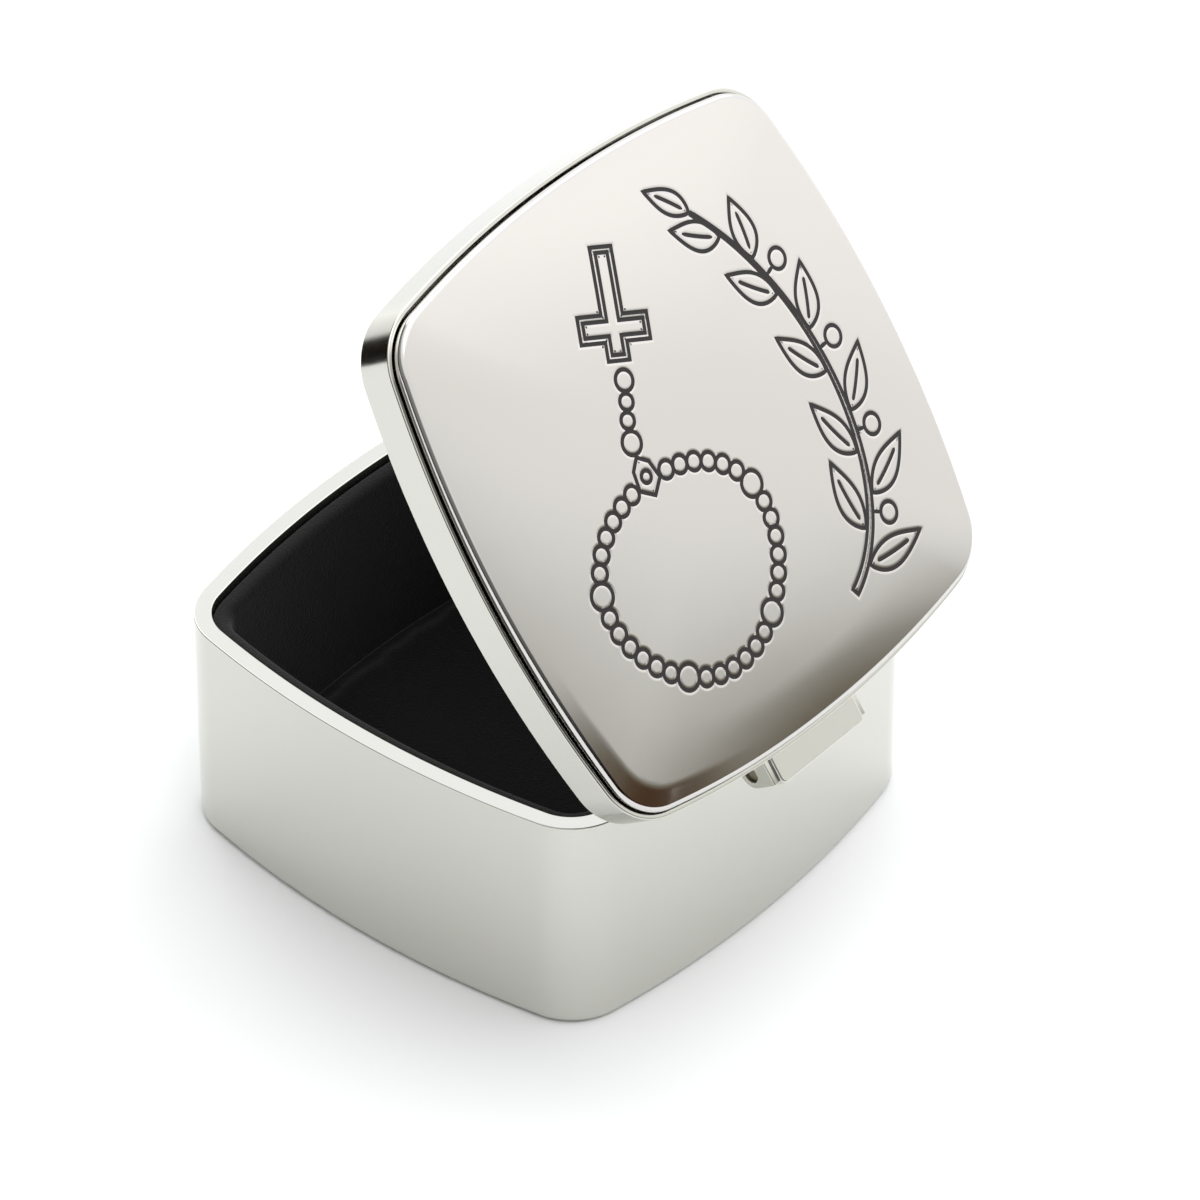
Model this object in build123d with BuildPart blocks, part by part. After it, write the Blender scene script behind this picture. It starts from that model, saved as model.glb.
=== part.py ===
from build123d import *

import os
from math import cos, radians, sin, sqrt

# A rosary box: a square metal tray with bowed sides, a hinged lid with a domed plate, and a
# velvet lining.  The origin is the centre of the base, +Z is up and the hinge is on the +Y side.
# The lid is modelled where it stands open, turned by rest_opening about the hinge pin.

# Tray
body_width = 57.0  # across the middle of opposite sides
side_bow_radius = 110.0
corner_radius = 6.7
body_height = 25.4
wall_thickness = 1.8
floor_thickness = 1.6
foot_edge_chamfer = 0.6
rim_edge_chamfer = 0.2

# Lining of the tray
glue_gap = 0.1  # between a lining piece and the wall beside it
card_thickness = 0.8
velvet_thickness = 1.0
rolled_edge_chamfer = 0.3
lining_drop = 0.7  # from the rim down to the rolled edge of the velvet
floor_card_thickness = 1.2
floor_velvet_thickness = 1.8
floor_velvet_edge_chamfer = 0.6

# Frame of the lid
lid_overhang = 1.2
lid_set_back = 0.3  # the closed lid's centre behind the tray's
lid_corner_radius = 6.8
lid_seat_gap = 0.1
band_height = 4.3
band_thickness = 2.4
band_edge_chamfer = 0.1
bead_width = 0.5
bead_inner_chamfer = 0.1
ledge_depth = 1.3  # from the top of the bead to the ledge that carries the plate
ledge_thickness = 1.0
ledge_width = 2.2

# Domed plate
seam_width = 0.06
plate_edge_rise = 1.2  # from the bead to the foot of the dome
plate_edge_radius = 1.0
plate_thickness = 1.2
plate_flange_width = 8.5  # from the lid's side to the hollow
dome_rise = 0.9
dome_power = 2.4
dome_steps = 5
dome_centre_share = 0.25  # half-width of the last section over that of the plate
dome_bow_share = 1.5  # bow radius over half-width at the dome's centre
dome_round_share = 0.7  # corner radius over half-width at the dome's centre
hollow_top_share = 0.45  # half-width of the hollow's top over that of the plate

# Lining of the lid
lid_card_thickness = 0.8
lid_velvet_thickness = 1.0
lid_velvet_edge_chamfer = 0.45

# Hinge
pin_standoff = 3.15  # pin axis behind the rear wall
pin_drop = 1.1  # pin axis below the rim
pin_radius = 0.85
pin_end_recess = 0.3  # from the face of an ear to the end of the pin
pin_chamfer = 0.15
running_gap = 0.05  # round the pin, in the lug
ear_radius = 1.5
ear_span = 14.0  # over the outer faces of the two ears
ear_thickness = 2.2
ear_height = 2.55  # above the pin axis
tab_width = 12.5
tab_reach = 1.85  # behind the pin axis
tab_height = 2.95  # above the pin axis
tab_thickness = 1.4
tab_corner_radius = 0.6
tab_edge_radius = 0.2
tab_root = 0.8  # how far the tab runs into the band
lug_side_gap = 0.15
lug_radius = 1.5
lug_heel_length = 1.6
lug_arm_top = 0.9  # above the pin axis
lug_foot_drop = 3.6  # below the pin axis, at the wall
lug_root = 0.6  # how far the lug runs into the wall
rest_opening = 54.2
full_opening = 100.0


def bowed_square(half_width, bow_radius, round_radius):
    """Square outline with four outward arcs and rounded corners."""
    arc_centre = half_width - bow_radius
    corner = (arc_centre + sqrt(2 * bow_radius**2 - arc_centre**2)) / 2
    with BuildSketch() as outline:
        with BuildLine():
            ThreePointArc((corner, -corner), (half_width, 0), (corner, corner))
            ThreePointArc((corner, corner), (0, half_width), (-corner, corner))
            ThreePointArc((-corner, corner), (-half_width, 0), (-corner, -corner))
            ThreePointArc((-corner, -corner), (0, -half_width), (corner, -corner))
        make_face()
        fillet(outline.vertices(), radius=round_radius)
    return outline.sketch


def tray_outline(inset):
    """The tray's outline, moved inwards by inset."""
    return bowed_square(body_width / 2 - inset, side_bow_radius - inset, corner_radius - inset)


lid_half_width = body_width / 2 + lid_overhang
lid_bow_radius = side_bow_radius + lid_overhang


def lid_outline(inset):
    """The lid's outline, moved inwards by inset."""
    return bowed_square(lid_half_width - inset, lid_bow_radius - inset, lid_corner_radius - inset)


# Planes of the hinge and the lid
pin_y = body_width / 2 + pin_standoff
pin_z = body_height - pin_drop
seat_height = pin_drop + lid_seat_gap  # the lid's lower edge above the pin, when closed
lid_pivot = pin_y - lid_set_back  # from the lid's centre to the pin axis, along the lid
opening = radians(rest_opening)
lid_plane = Plane(
    origin=(
        0,
        pin_y - lid_pivot * cos(opening) + seat_height * sin(opening),
        pin_z + lid_pivot * sin(opening) + seat_height * cos(opening),
    ),
    x_dir=(1, 0, 0),
    z_dir=(0, sin(opening), cos(opening)),
)
lid_normal = Axis(lid_plane.origin, lid_plane.z_dir)
tray_hinge_plane = Plane(origin=(0, pin_y, pin_z), x_dir=(0, 1, 0), z_dir=(1, 0, 0))
lid_hinge_plane = Plane(origin=(0, pin_y, pin_z), x_dir=lid_plane.y_dir, z_dir=(1, 0, 0))

# Tray with the hinge lug on its rear wall
lug_half_width = ear_span / 2 - ear_thickness - lug_side_gap
stop = radians(full_opening)
heel_top = (lug_radius * sin(stop), lug_radius * cos(stop))
heel_end = (
    heel_top[0] + lug_heel_length * cos(stop),
    heel_top[1] - lug_heel_length * sin(stop),
)
lug_wall_side = -pin_standoff - lug_root

with BuildPart() as body_shell:
    with BuildSketch():
        add(tray_outline(0))
    extrude(amount=body_height)
    chamfer(body_shell.faces().sort_by(Axis.Z)[0].edges(), length=foot_edge_chamfer)
    with BuildSketch(Plane.XY.offset(floor_thickness)):
        add(tray_outline(wall_thickness))
    extrude(amount=body_height - floor_thickness, mode=Mode.SUBTRACT)
    chamfer(body_shell.faces().sort_by(Axis.Z)[-1].outer_wire().edges(), length=rim_edge_chamfer)
    with BuildSketch(tray_hinge_plane):
        Circle(lug_radius)
        with BuildLine():
            Polyline(
                (lug_wall_side, lug_arm_top),
                (0, lug_arm_top),
                heel_top,
                heel_end,
                (lug_wall_side, -lug_foot_drop),
                close=True,
            )
        make_face()
        Circle(pin_radius + running_gap, mode=Mode.SUBTRACT)
    extrude(amount=lug_half_width, both=True)
body_shell.part.label = "body_shell"

# Card strip round the wall
card_inset = wall_thickness + glue_gap
velvet_inset = card_inset + card_thickness
lining_inset = velvet_inset + velvet_thickness
lining_top = body_height - lining_drop
card_top = lining_top - velvet_thickness

with BuildPart() as wall_card:
    with BuildSketch(Plane.XY.offset(floor_thickness)):
        add(tray_outline(card_inset))
        add(tray_outline(velvet_inset), mode=Mode.SUBTRACT)
    extrude(amount=card_top - floor_thickness)
wall_card.part.label = "wall_card"

# Velvet on the card strip, rolled over its top edge
with BuildPart() as wall_velvet:
    with BuildSketch(Plane.XY.offset(floor_thickness)):
        add(tray_outline(velvet_inset))
    extrude(amount=lining_top - floor_thickness)
    with BuildSketch(Plane.XY.offset(card_top)):
        add(tray_outline(card_inset))
    extrude(amount=velvet_thickness)
    with BuildSketch(Plane.XY.offset(floor_thickness)):
        add(tray_outline(lining_inset))
    extrude(amount=lining_top - floor_thickness, mode=Mode.SUBTRACT)
    chamfer(wall_velvet.faces().sort_by(Axis.Z)[-1].edges(), length=rolled_edge_chamfer)
wall_velvet.part.label = "wall_velvet"

# Card board on the floor
with BuildPart() as floor_card:
    with BuildSketch(Plane.XY.offset(floor_thickness)):
        add(tray_outline(lining_inset + glue_gap))
    extrude(amount=floor_card_thickness)
floor_card.part.label = "floor_card"

# Velvet pad on the floor card
with BuildPart() as floor_velvet:
    with BuildSketch(Plane.XY.offset(floor_thickness + floor_card_thickness)):
        add(tray_outline(lining_inset + glue_gap))
    extrude(amount=floor_velvet_thickness)
    chamfer(floor_velvet.faces().sort_by(Axis.Z)[-1].edges(), length=floor_velvet_edge_chamfer)
floor_velvet.part.label = "floor_velvet"

# Frame of the lid, with the ledge for the plate and the hinge tab with its two ears
ledge_top = band_height - ledge_depth
ledge_bottom = ledge_top - ledge_thickness
band_rear = lid_half_width - lid_pivot  # rear face of the band, from the pin axis
tab_start = band_rear - tab_root
tab_length = tab_reach - tab_start
slot_half_width = ear_span / 2 - ear_thickness
slot_top = tab_height - tab_thickness

with BuildPart() as hinge_tab:
    with BuildSketch(lid_plane) as tab_plan:
        with Locations((0, lid_pivot + tab_reach - tab_length / 2)):
            Rectangle(tab_width, tab_length)
        fillet(tab_plan.vertices().group_by(Axis.Y)[-1], radius=tab_corner_radius)
    extrude(amount=tab_height - seat_height)
    fillet(hinge_tab.faces().sort_by(lid_normal)[-1].edges(), radius=tab_edge_radius)

with BuildPart() as lid_frame:
    with BuildSketch(lid_plane):
        add(lid_outline(0))
    extrude(amount=band_height)
    with BuildSketch(lid_plane.offset(ledge_top)):
        add(lid_outline(bead_width))
    extrude(amount=ledge_depth, mode=Mode.SUBTRACT)
    with BuildSketch(lid_plane):
        add(lid_outline(band_thickness))
    extrude(amount=ledge_bottom, mode=Mode.SUBTRACT)
    with BuildSketch(lid_plane.offset(ledge_bottom)):
        add(lid_outline(band_thickness + ledge_width))
    extrude(amount=ledge_thickness, mode=Mode.SUBTRACT)
    bead = lid_frame.faces().sort_by(lid_normal)[-1]
    chamfer(bead.outer_wire().edges(), length=band_edge_chamfer)
    bead = lid_frame.faces().sort_by(lid_normal)[-1]
    chamfer(bead.inner_wires()[0].edges(), length=bead_inner_chamfer)
    add(hinge_tab.part)
    for side in (-1, 1):
        with BuildSketch(lid_hinge_plane.offset(side * (ear_span - ear_thickness) / 2)):
            Circle(ear_radius)
            with BuildLine():
                Polyline(
                    (-ear_radius, 0),
                    (-ear_radius, seat_height),
                    (tab_start, seat_height),
                    (tab_start, ear_height),
                    (ear_radius, ear_height),
                    (ear_radius, 0),
                    close=True,
                )
            make_face()
        extrude(amount=ear_thickness / 2, both=True)
    with BuildSketch(lid_hinge_plane):
        with BuildLine():
            Polyline(
                (band_rear, 0),
                (band_rear, slot_top),
                (2 * tab_reach, slot_top),
                (2 * tab_reach, 0),
                close=True,
            )
        make_face()
    extrude(amount=slot_half_width, both=True, mode=Mode.SUBTRACT)
    with BuildSketch(lid_hinge_plane):
        Circle(pin_radius)
    extrude(amount=ear_span / 2, both=True, mode=Mode.SUBTRACT)
lid_frame.part.label = "lid_frame"

# Domed plate, hollow underneath, standing on the ledge
plate_inset = bead_width + seam_width
dome_inset = plate_inset + plate_edge_radius
plate_edge_top = band_height + plate_edge_rise
hollow_half_width = lid_half_width - plate_flange_width
hollow_top_half_width = lid_half_width * hollow_top_share


def dome_height(share):
    """Height of the dome over the lid's lower face where its outline is scaled by share."""
    return plate_edge_top + dome_rise * (1 - share**dome_power)


def dome_outline(share):
    """The dome's outline scaled by share, and rounder the nearer it is to the centre."""
    half_width = lid_half_width - dome_inset
    edge_bow = (lid_bow_radius - dome_inset) / half_width
    edge_round = (lid_corner_radius - dome_inset) / half_width
    bow = dome_bow_share + (edge_bow - dome_bow_share) * share
    rounding = dome_round_share + (edge_round - dome_round_share) * share
    return bowed_square(half_width * share, half_width * share * bow, half_width * share * rounding)


dome_stride = (1 - dome_centre_share) / (dome_steps - 1)

with BuildPart() as lid_plate:
    with BuildSketch(lid_plane.offset(ledge_top)):
        add(lid_outline(plate_inset))
    extrude(amount=plate_edge_top - ledge_top)
    fillet(lid_plate.faces().sort_by(lid_normal)[-1].edges(), radius=plate_edge_radius)
    for step in range(dome_steps):
        share = 1 - step * dome_stride
        with BuildSketch(lid_plane.offset(dome_height(share))):
            add(dome_outline(share))
    loft()
    hollow_edge = plate_edge_top - plate_thickness
    with BuildSketch(lid_plane.offset(ledge_top)):
        Rectangle(2 * hollow_half_width, 2 * hollow_half_width)
    extrude(amount=hollow_edge - ledge_top, mode=Mode.SUBTRACT)
    with BuildSketch(lid_plane.offset(hollow_edge)):
        Rectangle(2 * hollow_half_width, 2 * hollow_half_width)
    with BuildSketch(lid_plane.offset(dome_height(hollow_top_share) - plate_thickness)):
        Rectangle(2 * hollow_top_half_width, 2 * hollow_top_half_width)
    loft(mode=Mode.SUBTRACT)
lid_plate.part.label = "lid_plate"

# Card board against the underside of the ledge
lid_card_bottom = ledge_bottom - lid_card_thickness

with BuildPart() as lid_card:
    with BuildSketch(lid_plane.offset(lid_card_bottom)):
        add(lid_outline(band_thickness + glue_gap))
    extrude(amount=lid_card_thickness)
lid_card.part.label = "lid_card"

# Velvet pad on the lid card, facing into the box
with BuildPart() as lid_velvet:
    with BuildSketch(lid_plane.offset(lid_card_bottom - lid_velvet_thickness)):
        add(lid_outline(band_thickness + glue_gap))
    extrude(amount=lid_velvet_thickness)
    chamfer(lid_velvet.faces().sort_by(lid_normal)[0].edges(), length=lid_velvet_edge_chamfer)
lid_velvet.part.label = "lid_velvet"

# Hinge pin, tight in the ears, running in the lug, with its ends a little below the ears' faces
with BuildPart() as hinge_pin:
    with BuildSketch(tray_hinge_plane):
        Circle(pin_radius)
    extrude(amount=ear_span / 2 - pin_end_recess, both=True)
    chamfer(hinge_pin.edges().filter_by(GeomType.CIRCLE), length=pin_chamfer)
hinge_pin.part.label = "hinge_pin"

os.makedirs("parts", exist_ok=True)
export_step(body_shell.part, "parts/body_shell.step")
export_step(wall_card.part, "parts/wall_card.step")
export_step(wall_velvet.part, "parts/wall_velvet.step")
export_step(floor_card.part, "parts/floor_card.step")
export_step(floor_velvet.part, "parts/floor_velvet.step")
export_step(lid_frame.part, "parts/lid_frame.step")
export_step(lid_plate.part, "parts/lid_plate.step")
export_step(lid_card.part, "parts/lid_card.step")
export_step(lid_velvet.part, "parts/lid_velvet.step")
export_step(hinge_pin.part, "parts/hinge_pin.step")
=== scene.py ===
import math

import bpy
import numpy as np
from mathutils import Matrix
from mathutils.geometry import delaunay_2d_cdt


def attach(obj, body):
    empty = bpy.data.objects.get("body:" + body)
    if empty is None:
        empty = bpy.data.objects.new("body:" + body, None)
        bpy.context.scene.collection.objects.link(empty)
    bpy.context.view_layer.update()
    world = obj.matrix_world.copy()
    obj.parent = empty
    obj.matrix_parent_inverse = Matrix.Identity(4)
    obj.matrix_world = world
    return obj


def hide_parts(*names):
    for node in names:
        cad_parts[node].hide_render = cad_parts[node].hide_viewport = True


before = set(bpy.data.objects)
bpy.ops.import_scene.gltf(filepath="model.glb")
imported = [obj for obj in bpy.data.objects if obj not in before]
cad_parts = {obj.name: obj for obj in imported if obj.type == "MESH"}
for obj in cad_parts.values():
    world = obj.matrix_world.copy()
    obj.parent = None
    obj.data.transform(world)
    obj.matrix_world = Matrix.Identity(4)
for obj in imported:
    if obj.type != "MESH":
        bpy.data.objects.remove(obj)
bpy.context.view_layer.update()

# ---------------------------------------------------------------------------------------------
# Tray
# A square cup die-cast in zinc alloy, polished and nickel plated: four bowed walls with a flat
# rim and a rounded foot, and the lug of the hinge cast on the rear wall.  Sizes are millimetres.
# ---------------------------------------------------------------------------------------------
tray_half_width = 28.5
tray_bow_radius = 110.0
tray_corner_radius = 6.7
tray_height = 25.4
tray_wall = 1.8
tray_floor = 1.6
tray_foot_radius = 0.9
tray_rim_radius = 0.12
MM = 0.001


def bowed_square(half_width, bow_radius, corner_radius, side_steps=72, corner_steps=30):
    """Points and outward normals round a square with bowed sides and rounded corners.

    A side is an arc of bow_radius and a corner an arc of corner_radius that touches both
    sides; a point is the arc's centre plus its radius times (cos a, sin a), and (cos a, sin a)
    is the outward normal, so a step along the normals gives the parallel outline.
    """
    side_centre = half_width - bow_radius
    gap = bow_radius - corner_radius
    corner_centre = (side_centre + math.sqrt(2 * gap**2 - side_centre**2)) / 2
    turn = math.atan2(corner_centre, corner_centre - side_centre)
    side = np.linspace(-turn, turn, side_steps, endpoint=False)
    corner = np.linspace(turn, math.pi / 2 - turn, corner_steps, endpoint=False)
    angle = np.concatenate([side, corner])
    centre = np.zeros((len(angle), 2))
    centre[: len(side), 0] = side_centre
    centre[len(side):] = corner_centre
    radius = np.concatenate([np.full(len(side), bow_radius), np.full(len(corner), corner_radius)])
    normal = np.stack([np.cos(angle), np.sin(angle)], 1)
    quarter = centre + radius[:, None] * normal
    turned = [np.array([[math.cos(q), -math.sin(q)], [math.sin(q), math.cos(q)]]) for q in
              (0, math.pi / 2, math.pi, 3 * math.pi / 2)]
    return (np.concatenate([quarter @ t.T for t in turned]),
            np.concatenate([normal @ t.T for t in turned]))


def rounded(corners, radii, closed, steps=6):
    """A profile with its corners rounded: each corner gives the arc that touches its two sides."""
    corners = np.array(corners, float)
    count = len(corners)
    points = []
    for k, radius in enumerate(radii):
        here = corners[k]
        if radius == 0 or (not closed and k in (0, count - 1)):
            points.append(here[None])
            continue
        back = corners[k - 1] - here
        ahead = corners[(k + 1) % count] - here
        back /= np.linalg.norm(back)
        ahead /= np.linalg.norm(ahead)
        half = math.acos(np.clip(back @ ahead, -1, 1)) / 2
        middle = (back + ahead) / np.linalg.norm(back + ahead)
        centre = here + middle * radius / math.sin(half)
        start = here + back * radius / math.tan(half) - centre
        end = here + ahead * radius / math.tan(half) - centre
        share = np.linspace(0, 1, steps + 1)[:, None]
        sweep = math.pi - 2 * half
        arc = (np.sin((1 - share) * sweep) * start + np.sin(share * sweep) * end) / math.sin(sweep)
        points.append(centre + arc)
    return np.concatenate(points)


def carried(profile, outline, closed, sharp=35):
    """Vertices, faces and corner normals of a profile of (outward step, height) carried round
    an outline: vertex (j, i) is outline point i plus step j times its normal, at height j.

    A corner's normal is the profile's, the longer of two meeting segments counting for more,
    and each segment keeps its own where they meet at more than sharp degrees.
    """
    points, normals = outline
    profile = np.array(profile, float)
    rows, columns = len(profile), len(points)
    vertices = np.empty((rows, columns, 3))
    vertices[..., :2] = points + profile[:, :1, None] * normals
    vertices[..., 2] = profile[:, 1:]
    after = np.roll(profile, -1, 0) if closed else profile[1:]
    before = profile if closed else profile[:-1]
    step = after - before
    length = np.linalg.norm(step, axis=1)[:, None]
    across = np.stack([step[:, 1], -step[:, 0]], 1)
    own = across / length
    segments = len(own)
    if closed:
        mixed = across + np.roll(across, 1, 0)
        at_start, at_end = mixed, np.roll(mixed, -1, 0)
    else:
        mixed = np.zeros((rows, 2))
        mixed[:-1] += across
        mixed[1:] += across
        at_start, at_end = mixed[:-1], mixed[1:]
    shading = []
    for normal in (at_start, at_end):
        normal = normal / np.linalg.norm(normal, axis=1)[:, None]
        keep = (normal * own).sum(1) < math.cos(math.radians(sharp))
        shading.append(np.where(keep[:, None], own, normal))
    j = np.arange(segments)[:, None]
    i = np.arange(columns)[None]
    following = (i + 1) % columns
    above = (j + 1) % rows
    faces = np.stack([j * columns + i, j * columns + following,
                      above * columns + following, above * columns + i], -1).reshape(-1, 4)
    corner = np.empty((segments, columns, 4, 3))
    for place, (shade, ahead) in enumerate(((0, 0), (0, 1), (1, 1), (1, 0))):
        turned = np.roll(normals, -ahead, 0)
        corner[:, :, place, :2] = shading[shade][:, None, :1] * turned[None]
        corner[:, :, place, 2] = shading[shade][:, None, 1]
    return vertices.reshape(-1, 3), faces.tolist(), corner.reshape(-1, 3)


def joined(*parts):
    """Several (vertices, faces, corner normals) as one, with the faces' numbers moved along."""
    vertices, faces, normals, start = [], [], [], 0
    for part in parts:
        vertices.append(part[0])
        faces += [[start + v for v in face] for face in part[1]]
        normals.append(part[2])
        start += len(part[0])
    return np.concatenate(vertices), faces, np.concatenate(normals)


def capped(part, columns, low, high):
    """The part with a flat face over its first ring, facing low, and its last, facing high."""
    vertices, faces, normals = part
    last = len(vertices) - columns
    faces = faces + [list(range(columns))[::-1], list(range(last, last + columns))]
    ends = np.concatenate([np.tile(low, (columns, 1)), np.tile(high, (columns, 1))])
    return vertices, faces, np.concatenate([normals, ends])


def placed(part, origin, x_axis, y_axis, z_axis):
    """The part moved from its own axes to those given."""
    turn = np.array([x_axis, y_axis, z_axis], float)
    return part[0] @ turn + np.array(origin, float), part[1], part[2] @ turn


def make_piece(name, part, finishes, face_finish=None):
    """A mesh object from vertices in millimetres, faces and corner normals."""
    vertices, faces, normals = part
    mesh = bpy.data.meshes.new(name)
    mesh.from_pydata((vertices * MM).tolist(), [], faces)
    for finish in finishes:
        mesh.materials.append(finish)
    if face_finish is not None:
        mesh.polygons.foreach_set("material_index", np.asarray(face_finish, np.int32))
    mesh.polygons.foreach_set("use_smooth", np.ones(len(faces), bool))
    mesh.update()
    mesh.normals_split_custom_set(normals.tolist())
    piece = bpy.data.objects.new(name, mesh)
    bpy.context.scene.collection.objects.link(piece)
    return piece


def colour(code):
    """An sRGB hex colour as linear red, green, blue and alpha."""
    parts = [int(code[k:k + 2], 16) / 255 for k in (1, 3, 5)]
    linear = [p / 12.92 if p <= 0.04045 else ((p + 0.055) / 1.055) ** 2.4 for p in parts]
    return (*linear, 1.0)


def node(material, kind, settings=(), **sockets):
    """A node of that kind; a socket takes a number or colour, or the output that feeds it."""
    tree = material.node_tree
    made = tree.nodes.new(kind)
    for key, value in dict(settings).items():
        setattr(made, key, value)
    for key, value in sockets.items():
        socket = made.inputs[int(key[1:])] if key[1:].isdigit() else made.inputs[key.replace("_", " ")]
        if isinstance(value, bpy.types.NodeSocket):
            tree.links.new(value, socket)
        else:
            socket.default_value = value
    return made


def new_material(name):
    """An empty node material."""
    material = bpy.data.materials.new(name)
    material.use_nodes = True
    material.node_tree.nodes.clear()
    return material


# Nickel plate over a polished casting: a neutral silver mirror, a little warm, with the faint
# waves that the polishing wheel leaves and a fine haze that softens what it reflects.
def nickel(name, tint, roughness, wave):
    material = new_material(name)
    place = node(material, "ShaderNodeTexCoord").outputs["Object"]
    waviness = node(material, "ShaderNodeTexNoise", Vector=place, Scale=110.0, Detail=2.0,
                    Roughness=0.5)
    haze = node(material, "ShaderNodeTexNoise", Vector=place, Scale=900.0, Detail=3.0)
    matt = node(material, "ShaderNodeMapRange", Value=haze.outputs["Fac"], To_Min=roughness * 0.8,
                To_Max=roughness * 1.2)
    bump = node(material, "ShaderNodeBump", Height=waviness.outputs["Fac"], Strength=wave,
                Distance=0.0002)
    shader = node(material, "ShaderNodeBsdfPrincipled", Base_Color=colour(tint), Metallic=1.0,
                  Roughness=matt.outputs["Result"], Normal=bump.outputs["Normal"])
    node(material, "ShaderNodeOutputMaterial", Surface=shader.outputs["BSDF"])
    return material


cast_nickel = nickel("nickel plate on casting", "#CBCBC4", 0.11, 0.06)

tray_outline = bowed_square(tray_half_width, tray_bow_radius, tray_corner_radius)
tray_columns = len(tray_outline[0])
tray_profile = rounded(
    [(-2.0, 0), (0, 0), (0, tray_height), (-tray_wall, tray_height), (-tray_wall, tray_floor)],
    [0, tray_foot_radius, tray_rim_radius, 0.12, 0], closed=False)
tray_cup = capped(carried(tray_profile, tray_outline, closed=False), tray_columns,
                  (0, 0, -1), (0, 0, 1))

pin_y = 31.65
pin_z = 24.3
lug_half_width = 4.65
lug_hole = 0.9
lug_radius = 1.5
lug_top = 0.9
lug_wall_side = -3.75
lug_foot = -3.6
lug_heel = (1.199, -1.836)


def outlined(points):
    """A closed outline's points with their outward normals, each square to the mean direction
    of the two sides that meet there."""
    points = np.array(points, float)
    side = np.roll(points, -1, 0) - points
    side /= np.linalg.norm(side, axis=1)[:, None]
    along = side + np.roll(side, 1, 0)
    along /= np.linalg.norm(along, axis=1)[:, None]
    return points, np.stack([along[:, 1], -along[:, 0]], 1)


def eyelet(outline, hole, low, high, rounding, steps=4):
    """A plate between two planes across X with a round hole at the axis and rounded edges.

    Ring by ring: the hole's low end, the low edge's rounding (in by r(1 - sin t), up by
    r(1 - cos t)), the high edge's, and the hole's high end.  The hole's points lie in the
    outline's directions.
    """
    points, normals = outline
    count = len(points)
    aim = points / np.linalg.norm(points, axis=1)[:, None]
    turn = np.linspace(0, math.pi / 2, steps + 1)
    flat, x, lean, out = [aim * hole], [low], [-1.0], [0.0]
    for side, edge, turns in ((-1, low, turn), (1, high, turn[::-1])):
        for t in turns:
            flat.append(points - normals * rounding * (1 - math.sin(t)))
            x.append(edge - side * rounding * (1 - math.cos(t)))
            lean.append(side * math.cos(t))
            out.append(math.sin(t))
    flat.append(aim * hole)
    x.append(high)
    lean.append(1.0)
    out.append(0.0)
    rows = len(x)
    vertices = np.concatenate([np.column_stack([np.full(count, a), f]) for a, f in zip(x, flat)])
    own = np.stack([np.column_stack([np.full(count, a), normals * b]) for a, b in zip(lean, out)])
    i = np.arange(count)
    following = (i + 1) % count
    faces, corners = [], []
    for a in range(rows):
        b = (a + 1) % rows
        faces.append(np.stack([a * count + i, a * count + following,
                               b * count + following, b * count + i], 1))
        if b == 0:
            inward = np.column_stack([np.zeros(count), -aim])
            shade = [inward, inward[following], inward[following], inward]
        else:
            shade = [own[a], own[a][following], own[b][following], own[b]]
        corners.append(np.stack(shade, 1).reshape(-1, 3))
    return vertices, np.concatenate(faces).tolist(), np.concatenate(corners)


top_angle = math.asin(lug_top / lug_radius)
lug_arc = np.linspace(math.radians(-10), math.pi - top_angle, 28)
lug_outer = ([(lug_wall_side, lug_foot), lug_heel]
             + [(lug_radius * math.cos(a), lug_radius * math.sin(a)) for a in lug_arc]
             + [(lug_wall_side, lug_top)])
lug = placed(eyelet(outlined(lug_outer), lug_hole, -lug_half_width, lug_half_width, 0.15),
             (0, pin_y, pin_z), (1, 0, 0), (0, 1, 0), (0, 0, 1))

tray = make_piece("tray_shell", joined(tray_cup, lug), [cast_nickel])
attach(tray, "tray")
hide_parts("body_shell")

# ---------------------------------------------------------------------------------------------
# Boards
# Grey card cut to size and glued in: a strip round the wall, a square on the floor and one in
# the lid.  They only show at their cut edges, between metal and velvet.
# ---------------------------------------------------------------------------------------------


# Grey board: pressed paper pulp, matt, with short pale and dark fibres half a millimetre long.
def card(name):
    material = new_material(name)
    place = node(material, "ShaderNodeTexCoord").outputs["Object"]
    fibre = node(material, "ShaderNodeTexNoise", Vector=place, Scale=2500.0, Detail=4.0)
    mixed = node(material, "ShaderNodeMix", {"data_type": "RGBA"}, Factor=fibre.outputs["Fac"],
                 _6=colour("#7E786C"), _7=colour("#9C968A"))
    bump = node(material, "ShaderNodeBump", Height=fibre.outputs["Fac"], Strength=0.4,
                Distance=0.0001)
    shader = node(material, "ShaderNodeBsdfPrincipled", Base_Color=mixed.outputs[2], Roughness=0.9,
                  Normal=bump.outputs["Normal"])
    node(material, "ShaderNodeOutputMaterial", Surface=shader.outputs["BSDF"])
    return material


grey_board = card("grey board")
for board in ("wall_card", "floor_card", "lid_card"):
    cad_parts[board].data.materials.clear()
    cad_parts[board].data.materials.append(grey_board)

# ---------------------------------------------------------------------------------------------
# Velvet lining of the tray
# Black cotton velvet: a strip glued round the wall card and rolled over its top edge, and a
# thin padded square pressed in on the floor card.
# ---------------------------------------------------------------------------------------------


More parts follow.
